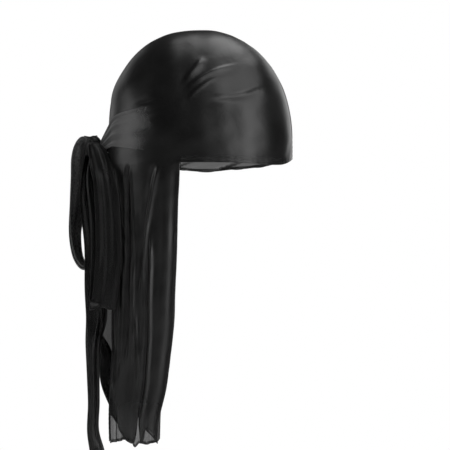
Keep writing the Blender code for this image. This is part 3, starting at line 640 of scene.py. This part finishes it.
def makeTie(name, side, phase):
    along = np.linspace(0, 1, tie["rows"] + 1)[:, None]
    across = np.linspace(0, 1, tie["columns"] + 1)[None, :]
    width = tie["width"] * readRows(tieSections, "along", "width", along)
    height = readRows(tieSections, "along", "middle", along) + width * (across - 0.5)
    start = tie["lowStart"] + (tie["topStart"] - tie["lowStart"]) * across
    start = start + tie["startWave"] * np.sin(9.0 * across + phase)
    start = start + tie["startRipple"] * np.sin(21.0 * across)
    angle = start + (tie["leaves"] - start) * np.clip(along / tie["onCrown"], 0, 1)
    points = outline(angle, height)
    out = outwardAt(angle, height)
    foldHeight = crownFoldHeight(points[..., 0], points[..., 2])
    foldHeight *= ease(points[..., 1] / (crown["halfWidth"] * crown["foldsFrom"]))
    drift = 0.35 * np.sin(2.2 * along + phase)
    gather = np.sin(math.pi * (tie["gathers"] * across + drift)) ** 2
    fine = 0.22 * np.sin(2 * math.pi * (7.3 * across + 0.9 * drift) + phase)
    lift = tie["clear"] + tie["gather"] * ease(1.3 * along - 0.2) * gather * (1 + fine)
    lift = lift - (tie["clear"] + tie["sunk"]) * ease(1 - along / tie["blend"]) + foldHeight
    points = points + out * lift[..., None]

    # from the crown to the knot
    seat = knotSurface(tie["seat"])
    end = np.stack([seat[0] + 0 * lift, seat[1] + lift, height], axis=-1)
    leave = np.clip((along - tie["onCrown"]) / (1 - tie["onCrown"]), 0, 1)
    points = points + (end - points) * (leave ** 1.15)[..., None]
    points[..., 1] *= side
    hem = hemShape(np.minimum(across, 1 - across) * width, 0)[0]
    weave = np.stack([(across - 0.5) * width, along * tie["length"] + 0 * across], axis=-1)
    cover = ease((along + 0.05 * np.sin(11 * across + phase)) / tie["sheerTo"])
    return clothObject(
        name, points, weave, cover, tie["hemShare"] * hem * ease(along / tie["blend"]),
        outwards=lambda spot: Vector((spot.x / 2, spot.y, 0)),
        wallSide=1,
    )


# Loops and tails: straps folded in two along their length

strap = {
    "width": 0.0275,
    "fold": 0.0035,
    "overlap": 0.9,
    "layerGap": 0.0013,
    "ripple": 0.0011,
    "settle": 0.03,           # length at each end over which the ripples grow
    "hemShare": 0.45,         # of a panel hem's thickness
    "steps": 9,               # rows of the mesh between two rows of a route
    "clearance": 0.0030,      # from the crests of the flap's folds to a strap that hangs beside them
    "pleat": 0.0050,          # from the flap's plain surface to those crests
}
# Columns of the mesh across one layer, as shares of the width from the fold
foldShares = [1.0, 0.985, 0.965, 0.94, 0.90, 0.84, 0.77, 0.70, 0.62, 0.54, 0.46, 0.38, 0.30, 0.23, 0.16, 0.10,
              0.06, 0.035, 0.018, 0.006]

# Where a strap hangs free, out, side and down are shares of its own reach, side and drop. Beside the flap,
# round is its place in degrees from the back towards +Y and stand is a share of the clearance. knot is the
# direction in which it meets the knot. turn is the direction of its width, in degrees from +X towards +Y,
# fold is how far it bows, and overlap the share of its width with two layers, where it isn't the usual one.
# foldedAt is the side with the fold.
outerLoop = {
    "drop": 0.127,
    "reach": 0.0195,
    "side": strap["width"] / 2 + strap["clearance"],
    "foldedAt": 1,
    "ripple": 2.2,
}
outerLoopRoute = [
    dict(knot=(-0.30, 0.28, 0.91), width=0.44, turn=84, fold=0.1),
    dict(out=0.32, side=0.42, down=-0.080, width=0.78, turn=54, fold=0.5),
    dict(out=0.63, side=0.62, down=-0.026, width=0.88, turn=52, fold=0.7),
    dict(out=0.77, side=0.78, down=0.072, width=0.98, turn=50, fold=0.9),
    dict(out=0.80, side=0.92, down=0.240, width=1.00, turn=50, fold=1.0),
    dict(out=0.92, side=1.00, down=0.480, width=1.00, turn=50, fold=0.8),
    dict(out=1.06, side=1.04, down=0.720, width=0.94, turn=62, fold=0.7),
    dict(out=0.94, side=1.04, down=0.910, width=0.88, turn=72, fold=0.5),
    dict(out=0.58, side=1.02, down=1.000, width=0.84, turn=82, fold=0.4),
    dict(out=0.28, side=1.00, down=0.930, width=0.84, turn=84, fold=0.4),
    dict(out=0.14, side=0.96, down=0.720, width=0.82, turn=84, fold=0.5),
    dict(out=0.14, side=0.92, down=0.460, width=0.74, turn=84, fold=0.7),
    dict(out=0.12, side=0.78, down=0.240, width=0.54, turn=84, fold=0.6),
    dict(knot=(-0.05, 0.42, -0.90), width=0.36, turn=88, fold=0.1),
]
nearLoop = {"drop": 0.166, "reach": 0.0170, "side": 0.0300, "foldedAt": -1, "ripple": 1.0}
nearLoopRoute = [
    dict(knot=(0.10, -0.95, 0.30), width=0.36, turn=0, fold=0.1),
    dict(out=-0.15, side=-0.70, down=-0.010, width=0.44, turn=-4, fold=0.5),
    dict(out=-0.50, side=-1.05, down=0.065, width=0.74, turn=-10, fold=0.7),
    dict(round=-29, stand=1.0, down=0.190, width=0.86, turn=-20, fold=0.8),
    dict(round=-30, stand=1.0, down=0.340, width=0.98, turn=-20, fold=0.8),
    dict(round=-29, stand=1.0, down=0.520, width=1.00, turn=-19, fold=0.7),
    dict(round=-28, stand=1.0, down=0.720, width=1.00, turn=-18, fold=0.6),
    dict(round=-26, stand=1.0, down=0.900, width=1.00, turn=-18, fold=0.4),
    dict(round=-23, stand=1.0, down=0.995, width=0.97, turn=-18, fold=0.3),
    dict(round=-19, stand=0.6, down=0.970, width=0.94, turn=-18, fold=0.3),
    dict(round=-17, stand=0.4, down=0.860, width=0.90, turn=-18, fold=0.4),
    dict(round=-16, stand=0.4, down=0.640, width=0.86, turn=-16, fold=0.5),
    dict(round=-16, stand=0.4, down=0.420, width=0.80, turn=-14, fold=0.6),
    dict(round=-13, stand=1.0, down=0.210, width=0.60, turn=-8, fold=0.5),
    dict(knot=(0.15, -0.75, -0.65), width=0.34, turn=0, fold=0.1),
]
backTail = {"drop": 0.322, "reach": 0.0080, "side": 0.0080, "foldedAt": -1, "ripple": 0.9}
backTailRoute = [
    dict(knot=(-0.55, -0.05, -0.83), width=0.38, turn=75, fold=0.1),
    dict(out=0.75, side=-0.55, down=0.095, width=0.46, turn=40, fold=0.6),
    dict(out=0.70, side=-0.60, down=0.180, width=0.60, turn=20, fold=0.8),
    dict(out=-0.05, side=-0.55, down=0.320, width=0.70, turn=14, fold=0.8),
    dict(out=-0.25, side=-0.50, down=0.460, width=0.80, turn=10, fold=0.7),
    dict(out=-0.42, side=-0.45, down=0.560, width=0.80, turn=8, fold=0.7),
    dict(out=-0.10, side=-0.45, down=0.640, width=0.62, turn=30, fold=0.9),
    dict(out=-0.12, side=-0.40, down=0.740, width=0.50, turn=34, fold=1.0),
    dict(out=-0.15, side=-0.40, down=0.840, width=0.44, turn=28, fold=0.9),
    dict(out=0.00, side=-0.45, down=0.930, width=0.44, turn=20, fold=0.8),
    dict(out=-0.50, side=-0.50, down=1.000, width=0.56, turn=4, fold=0.5),
]
farTail = {"drop": 0.285, "reach": 0.0, "side": 0.0, "foldedAt": -1, "ripple": 0.6}
farTailRoute = [
    dict(knot=(0.48, 0.20, -0.85), width=0.38, turn=80, fold=0.1),
    dict(round=8, stand=0.4, down=0.150, width=0.52, turn=14, fold=0.5),
    dict(round=9, stand=-0.53, down=0.300, width=0.66, turn=16, fold=0.5, overlap=0.7),
    dict(round=9, stand=-0.6, down=0.440, width=0.86, turn=14, fold=0.4, overlap=0.4),
    dict(round=8, stand=-0.9, down=0.560, width=1.00, turn=14, fold=0.3, overlap=0.3),
    dict(round=7, stand=-1.2, down=0.680, width=1.04, turn=14, fold=0.3, overlap=0.45),
    dict(round=14, stand=0.3, down=0.790, width=0.74, turn=36, fold=0.3),
    dict(round=21, stand=1.0, down=0.890, width=0.80, turn=44, fold=0.3),
    dict(round=32, stand=0.8, down=1.000, width=0.68, turn=54, fold=0.2),
]


def besideFlap(row, height):
    angle = np.array(math.pi - math.radians(abs(row["round"])))
    height = np.array(height)
    spot, out = outline(angle, height), outwardAt(angle, height)
    if row["round"] < 0:
        spot[1], out[1] = -spot[1], -out[1]
    turn = math.radians(row["turn"])
    halfWidth = strap["width"] * row["width"] / 2 * abs(math.cos(turn) * out[0] + math.sin(turn) * out[1])
    return spot + out * (strap["pleat"] + strap["clearance"] * row["stand"] + halfWidth)


def routePlaces(route, sizes):
    places = []
    for row in route:
        if "knot" in row:
            places.append(knotSurface(row["knot"]))
        elif "round" in row:
            places.append(besideFlap(row, knot["middle"][2] - row["down"] * sizes["drop"]))
        else:
            shift = [-row["out"] * sizes["reach"], row["side"] * sizes["side"], -row["down"] * sizes["drop"]]
            places.append(knot["middle"] + shift)
    return np.array(places)


def makeStrap(name, route, sizes, phase):
    marks = np.arange(len(route), dtype=float)
    at = np.linspace(0, len(route) - 1, (len(route) - 1) * strap["steps"] + 1)
    line = readCurve(marks, routePlaces(route, sizes), at)
    length = np.concatenate([[0], np.cumsum(np.linalg.norm(np.diff(line, axis=0), axis=1))])

    def column(key):
        values = [row.get(key, strap.get(key)) for row in route]
        return readCurve(marks, np.array(values, float), at)[:, None]

    turn = np.radians(column("turn")[:, 0])
    along = unit(np.gradient(line, axis=0))
    wide = np.stack([np.cos(turn), np.sin(turn), 0 * turn], axis=-1)
    wide = unit(wide - along * np.sum(wide * along, axis=1, keepdims=True))
    out = np.cross(along, wide)
    width = strap["width"] * column("width")
    overlap = column("overlap")

    # from the front layer's edge to the fold, and on to the back layer's edge
    front = np.array(foldShares)[None, :] + 0 * width
    back = np.array(foldShares[::-1])[None, :] * overlap
    fromFold = np.concatenate([front, 0 * width, back], axis=1)
    layer = np.concatenate([0 * front + 1, 0 * width, 0 * back - 1], axis=1)
    off = (0.5 - fromFold) * sizes["foldedAt"]
    bend = np.clip(fromFold * width / strap["layerGap"], 0, 1)
    apart = layer * strap["layerGap"] / 2 * np.sqrt(1 - (1 - bend) ** 2)

    left = length[-1] - length
    grown = (ease(length / strap["settle"]) * ease(left / strap["settle"] + 0.2))[:, None]
    bow = strap["fold"] * column("fold") * (2 * off) ** 2
    drift = (0.9 * np.sin(length / 0.055 + phase) + 0.4 * np.sin(length / 0.023 + 2 * phase))[:, None]
    ripple = np.sin(3.2 * math.pi * off + drift + phase) + 0.5 * np.sin(6.8 * math.pi * off - 1.7 * drift)
    ripple = strap["ripple"] * sizes["ripple"] * grown * ripple * (0.6 + 0.4 * column("fold"))
    lift = apart + ripple - bow
    points = line[:, None, :] + wide[:, None, :] * (off * width)[..., None]
    points = points + out[:, None, :] * lift[..., None]

    edge = np.concatenate([(1 - front) * width, width, (overlap - back) * width], axis=1)
    if "knot" not in route[-1]:
        edge = np.minimum(edge, left[:, None])
    hem = hemShape(edge, 0)[0]
    acrossCloth = -layer * fromFold * width
    weave = np.stack([acrossCloth, length[:, None] + 0 * acrossCloth], axis=-1)
    face = Vector(out.mean(axis=0))
    return clothObject(
        name, points, weave, hem, strap["hemShare"] * hem,
        outwards=lambda spot: face,
        wallSide=0,
    )


# Satin

def weaveGroup():
    group = bpy.data.node_groups.new("satinWeave", "ShaderNodeTree")
    face = group.interface
    defaults = {"Thread Pitch": 0.0005, "Wrinkle Pitch": 0.02, "Wrinkle": 0.5, "Weave": 0.1, "Draw": 1.0}
    for label, value in defaults.items():
        face.new_socket(label, in_out="INPUT", socket_type="NodeSocketFloat").default_value = value
    face.new_socket("Height", in_out="OUTPUT", socket_type="NodeSocketFloat")
    face.new_socket("Tone", in_out="OUTPUT", socket_type="NodeSocketFloat")
    nodes, link = group.nodes, group.links.new
    given = nodes.new("NodeGroupInput")
    result = nodes.new("NodeGroupOutput")
    uv = nodes.new("ShaderNodeUVMap")
    uv.uv_map = "weave"

    def scaled(socket):
        over = nodes.new("ShaderNodeMath")
        over.operation = "DIVIDE"
        over.inputs[0].default_value = 1.0
        link(given.outputs[socket], over.inputs[1])
        sized = nodes.new("ShaderNodeVectorMath")
        sized.operation = "SCALE"
        link(uv.outputs["UV"], sized.inputs[0])
        link(over.outputs[0], sized.inputs["Scale"])
        return sized.outputs[0]

    threads = scaled("Thread Pitch")
    floats = nodes.new("ShaderNodeTexNoise")      # long floats of the satin weave
    floats.inputs["Scale"].default_value = 1.0
    floats.inputs["Detail"].default_value = 1.0
    stretch = nodes.new("ShaderNodeMapping")
    stretch.inputs["Scale"].default_value = (1.0, 0.22, 1.0)
    link(threads, stretch.inputs["Vector"])
    link(stretch.outputs[0], floats.inputs["Vector"])

    wrinkles = nodes.new("ShaderNodeTexNoise")
    wrinkles.inputs["Scale"].default_value = 1.0
    wrinkles.inputs["Detail"].default_value = 3.0
    wrinkles.inputs["Roughness"].default_value = 0.45
    wrinkles.inputs["Distortion"].default_value = 0.6
    draw = nodes.new("ShaderNodeCombineXYZ")      # how much the wrinkles are drawn out along the cloth
    draw.inputs["X"].default_value = 1.0
    link(given.outputs["Draw"], draw.inputs["Y"])
    drawn = nodes.new("ShaderNodeVectorMath")
    drawn.operation = "MULTIPLY"
    link(scaled("Wrinkle Pitch"), drawn.inputs[0])
    link(draw.outputs[0], drawn.inputs[1])
    link(drawn.outputs[0], wrinkles.inputs["Vector"])

    def times(first, second):
        node = nodes.new("ShaderNodeMath")
        node.operation = "MULTIPLY"
        link(first, node.inputs[0])
        link(second, node.inputs[1])
        return node.outputs[0]

    total = nodes.new("ShaderNodeMath")
    total.operation = "ADD"
    link(times(floats.outputs["Fac"], given.outputs["Weave"]), total.inputs[0])
    link(times(wrinkles.outputs["Fac"], given.outputs["Wrinkle"]), total.inputs[1])
    link(total.outputs[0], result.inputs["Height"])
    tone = nodes.new("ShaderNodeMath")
    tone.operation = "MULTIPLY_ADD"
    tone.inputs[1].default_value = 0.5
    link(floats.outputs["Fac"], tone.inputs[0])
    half = nodes.new("ShaderNodeMath")
    half.operation = "MULTIPLY"
    half.inputs[1].default_value = 0.5
    link(wrinkles.outputs["Fac"], half.inputs[0])
    link(half.outputs[0], tone.inputs[2])
    link(tone.outputs[0], result.inputs["Tone"])
    return group


satinWeave = weaveGroup()

threadPitch = 0.0006

# dark and light are the greys of the thread, rough its roughness, gloss its specular level and sheer how much
# light one thin layer keeps out. The ties' band satin has lighter greys than the rest as painted light, the
# outer loop's light grey is painted highlight streaks, and the near loop's satin is a darker, duller copy as
# painted shade. draw is 1 where wrinkles are even, and less where they are drawn out along the cloth. relief
# is the height that the bumps stand for.
finishes = {
    "panelSatin": dict(dark=0.002, light=0.006, rough=(0.33, 0.43), gloss=0.50, sheen=0.01, sheer=0.66,
                       wrinkle=0.55, wrinklePitch=0.030, draw=1.0, weave=0.020, relief=0.0010),
    # painted light: the ties are the same black satin, and these lighter greys stand in for the light that
    # falls on them
    "bandSatinPaintedLight": dict(dark=0.086, light=0.116, rough=(0.42, 0.52), gloss=0.50, sheen=0.20, sheer=0.0,
                      wrinkle=0.50, wrinklePitch=0.012, draw=0.5, weave=0.020, relief=0.0008),
    "tieSatin": dict(dark=0.005, light=0.011, rough=(0.38, 0.48), gloss=0.40, sheen=0.04, sheer=0.78,
                     wrinkle=0.60, wrinklePitch=0.010, draw=0.25, weave=0.020, relief=0.0010),
    # painted highlight: the light grey, drawn out along the cloth by the wrinkles, stands in for highlight
    # streaks on the outer loop
    "loopSatinPaintedHighlight": dict(dark=0.006, light=0.180, rough=(0.36, 0.46), gloss=0.60, sheen=0.12, sheer=0.90,
                      wrinkle=0.60, wrinklePitch=0.014, draw=0.22, weave=0.015, relief=0.0011),
    # painted shade: a darker, less glossy copy of the tie satin for the near loop, which hangs in shade
    "loopSatinPaintedShade": dict(dark=0.003, light=0.008, rough=(0.38, 0.48), gloss=0.24, sheen=0.02, sheer=0.92,
                       wrinkle=0.70, wrinklePitch=0.010, draw=0.18, weave=0.015, relief=0.0012),
    "knotSatin": dict(dark=0.004, light=0.009, rough=(0.44, 0.54), gloss=0.28, sheen=0.04, sheer=1.0,
                      wrinkle=0.80, wrinklePitch=0.005, draw=0.6, weave=0.03, relief=0.0010),
    "seamThread": dict(dark=0.005, light=0.010, rough=(0.50, 0.62), gloss=0.50, sheen=0.10, sheer=1.0,
                       wrinkle=0.30, wrinklePitch=0.004, draw=1.0, weave=0.20, relief=0.0004),
}


def satin(name):
    finish = finishes[name]
    material = bpy.data.materials.new(name)
    material.use_nodes = True
    nodes, link = material.node_tree.nodes, material.node_tree.links.new
    shader = nodes["Principled BSDF"]
    shader.inputs["Sheen Weight"].default_value = finish["sheen"]
    shader.inputs["Sheen Roughness"].default_value = 0.45
    shader.inputs["Specular IOR Level"].default_value = finish["gloss"]
    weave = nodes.new("ShaderNodeGroup")
    weave.node_tree = satinWeave
    weave.inputs["Thread Pitch"].default_value = threadPitch
    weave.inputs["Wrinkle Pitch"].default_value = finish["wrinklePitch"]
    weave.inputs["Wrinkle"].default_value = finish["wrinkle"]
    weave.inputs["Weave"].default_value = finish["weave"]
    weave.inputs["Draw"].default_value = finish["draw"]

    tint = nodes.new("ShaderNodeMapRange")
    tint.data_type = "FLOAT_VECTOR"
    # its vector sockets From Min, From Max, To Min and To Max
    for number, value in zip((7, 8, 9, 10), (0.36, 0.64, finish["dark"], finish["light"])):
        tint.inputs[number].default_value = (value,) * 3
    link(weave.outputs["Tone"], tint.inputs["Vector"])
    link(tint.outputs["Vector"], shader.inputs["Base Color"])
    rough = nodes.new("ShaderNodeMapRange")
    rough.inputs["From Min"].default_value = 0.3
    rough.inputs["From Max"].default_value = 0.7
    rough.inputs["To Min"].default_value, rough.inputs["To Max"].default_value = finish["rough"]
    link(weave.outputs["Tone"], rough.inputs["Value"])
    link(rough.outputs["Result"], shader.inputs["Roughness"])
    bump = nodes.new("ShaderNodeBump")
    bump.inputs["Distance"].default_value = finish["relief"]
    link(weave.outputs["Height"], bump.inputs["Height"])
    link(bump.outputs["Normal"], shader.inputs["Normal"])
    if finish["sheer"] < 1:
        cover = nodes.new("ShaderNodeAttribute")
        cover.attribute_name = "cover"
        solid = nodes.new("ShaderNodeMapRange")
        solid.inputs["To Min"].default_value = finish["sheer"]
        link(cover.outputs["Fac"], solid.inputs["Value"])
        link(solid.outputs["Result"], shader.inputs["Alpha"])
    return material


satins = {name: satin(name) for name in finishes}


def dress(piece, satinName, slot, *nodes):
    piece.data.materials.append(satins[satinName])
    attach(piece, "root")
    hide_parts(*nodes)


rightPanel = makePanel("panelRight", -1, rightFolds, rightHem, 0.4)
dress(rightPanel, "panelSatin", "panel_satin", "right_panel")
leftPanel = makePanel("panelLeft", 1, leftFolds, leftHem, 2.9)
dress(leftPanel, "panelSatin", "panel_satin", "left_panel")
print("panels", len(rightPanel.data.polygons), len(leftPanel.data.polygons))

seamWelt = makeSeam()
dress(seamWelt, "seamThread", "seam_thread", "centre_seam")
print("seam")

# the ties get the satin whose lighter greys are painted light
tieRight = makeTie("tieRight", -1, 0.3)
dress(tieRight, "bandSatinPaintedLight", "tie_satin", "tie_right")
tieLeft = makeTie("tieLeft", 1, 1.7)
dress(tieLeft, "bandSatinPaintedLight", "tie_satin", "tie_left")
print("ties")

knotWrap = makeKnot()
dress(knotWrap, "knotSatin", "knot_satin", "knot")
print("knot")

# the outer loop's satin carries painted highlight streaks, and the near loop's satin is painted shade
straps = [
    ("loopOuter", outerLoopRoute, outerLoop, "bow_loop_outer", "loopSatinPaintedHighlight", 0.2, 0.36),
    ("loopNear", nearLoopRoute, nearLoop, "bow_loop_near", "loopSatinPaintedShade", 1.1, 0.36),
    ("tailBack", backTailRoute, backTail, "tie_tail_back", "tieSatin", 2.3, 0.33),
    ("tailFar", farTailRoute, farTail, "tie_tail_far", "tieSatin", 3.4, 0.29),
]
for name, route, sizes, node, satinName, phase, length in straps:
    piece = makeStrap(name, route, sizes, phase)
    dress(piece, satinName, "tie_satin", node)
print("straps")


# Floor, light and camera

studio = {
    "floor": -0.42,
    "floorSize": 6.0,
    "floorSides": 96,
    "shadeTo": 0.34,          # the floor is grey out to here, and white from whiteFrom on
    "whiteFrom": 0.50,
    "dim": 0.03,              # the world's light, where the camera sees white
    "aim": (0, 0, -0.05),     # where the softboxes point
}


def makeFloor():
    bpy.ops.object.select_all(action="DESELECT")
    bpy.ops.mesh.primitive_circle_add(
        vertices=studio["floorSides"], radius=studio["floorSize"], fill_type="NGON",
        location=(0, 0, studio["floor"]))
    floor = bpy.context.object
    floor.name = "floor"
    material = bpy.data.materials.new("paleFloor")
    material.use_nodes = True
    nodes, link = material.node_tree.nodes, material.node_tree.links.new
    shader = nodes["Principled BSDF"]
    shader.inputs["Base Color"].default_value = (0.86, 0.86, 0.86, 1)
    shader.inputs["Roughness"].default_value = 0.7
    glow = nodes.new("ShaderNodeEmission")
    coords = nodes.new("ShaderNodeTexCoord")
    length = nodes.new("ShaderNodeVectorMath")
    length.operation = "LENGTH"
    link(coords.outputs["Object"], length.inputs[0])
    away = nodes.new("ShaderNodeMapRange")
    away.interpolation_type = "SMOOTHSTEP"
    away.inputs["From Min"].default_value = studio["shadeTo"]
    away.inputs["From Max"].default_value = studio["whiteFrom"]
    link(length.outputs["Value"], away.inputs["Value"])
    path = nodes.new("ShaderNodeLightPath")
    seen = nodes.new("ShaderNodeMath")
    seen.operation = "MULTIPLY"
    link(away.outputs["Result"], seen.inputs[0])
    link(path.outputs["Is Camera Ray"], seen.inputs[1])
    mix = nodes.new("ShaderNodeMixShader")
    link(seen.outputs[0], mix.inputs["Fac"])
    link(shader.outputs[0], mix.inputs[1])
    link(glow.outputs[0], mix.inputs[2])
    link(mix.outputs[0], nodes["Material Output"].inputs["Surface"])
    floor.data.materials.append(material)


def makeWorld():
    world = bpy.data.worlds.new("studio")
    bpy.context.scene.world = world
    world.use_nodes = True
    nodes, link = world.node_tree.nodes, world.node_tree.links.new
    path = nodes.new("ShaderNodeLightPath")
    bright = nodes.new("ShaderNodeMapRange")
    bright.inputs["To Min"].default_value = studio["dim"]
    bright.inputs["To Max"].default_value = 1.0
    link(path.outputs["Is Camera Ray"], bright.inputs["Value"])
    nodes["Background"].inputs["Color"].default_value = (1, 1, 1, 1)
    link(bright.outputs["Result"], nodes["Background"].inputs["Strength"])


# Softboxes that face the durag. radiance is how bright one looks in a mirror.
softboxes = [
    dict(name="top", place=(0.34, 0.16, 1.25), wide=0.9, tall=0.9, radiance=3.2),
    dict(name="frontHigh", place=(0.66, -0.72, 0.86), wide=1.3, tall=0.6, radiance=2.1),
    dict(name="frontRight", place=(1.00, -1.02, 0.12), wide=0.9, tall=1.2, radiance=3.0),
    dict(name="behindRight", place=(0.75, 1.20, 0.30), wide=0.8, tall=1.3, radiance=1.3),
    dict(name="left", place=(-1.19, -0.20, 0.22), wide=0.7, tall=0.7, radiance=1.7),
    dict(name="behindLeft", place=(-0.80, 0.80, 0.46), wide=0.7, tall=0.7, radiance=0.6),
]


def addSoftbox(box):
    light = bpy.data.lights.new(box["name"], "AREA")
    light.shape = "RECTANGLE"
    light.size, light.size_y = box["wide"], box["tall"]
    light.energy = box["radiance"] * math.pi * box["wide"] * box["tall"]
    lamp = bpy.data.objects.new(box["name"], light)
    bpy.context.scene.collection.objects.link(lamp)
    lamp.location = box["place"]
    lamp.rotation_euler = (Vector(studio["aim"]) - lamp.location).to_track_quat("-Z", "Y").to_euler()
    lamp.visible_camera = False


# The camera looks level along +Y, below the middle of the crown
view = {"place": (0.0265, -1.1, -0.062), "seenWidth": 0.477, "sensor": 36.0}


def makeCamera():
    data = bpy.data.cameras.new("camera")
    data.sensor_width = view["sensor"]
    data.lens = view["sensor"] * -view["place"][1] / view["seenWidth"]
    camera = bpy.data.objects.new("camera", data)
    bpy.context.scene.collection.objects.link(camera)
    camera.location = view["place"]
    camera.rotation_euler = (math.radians(90), 0, 0)
    bpy.context.scene.camera = camera


makeFloor()
makeWorld()
for box in softboxes:
    addSoftbox(box)
makeCamera()
bpy.context.scene.view_settings.view_transform = "Standard"
print("studio")
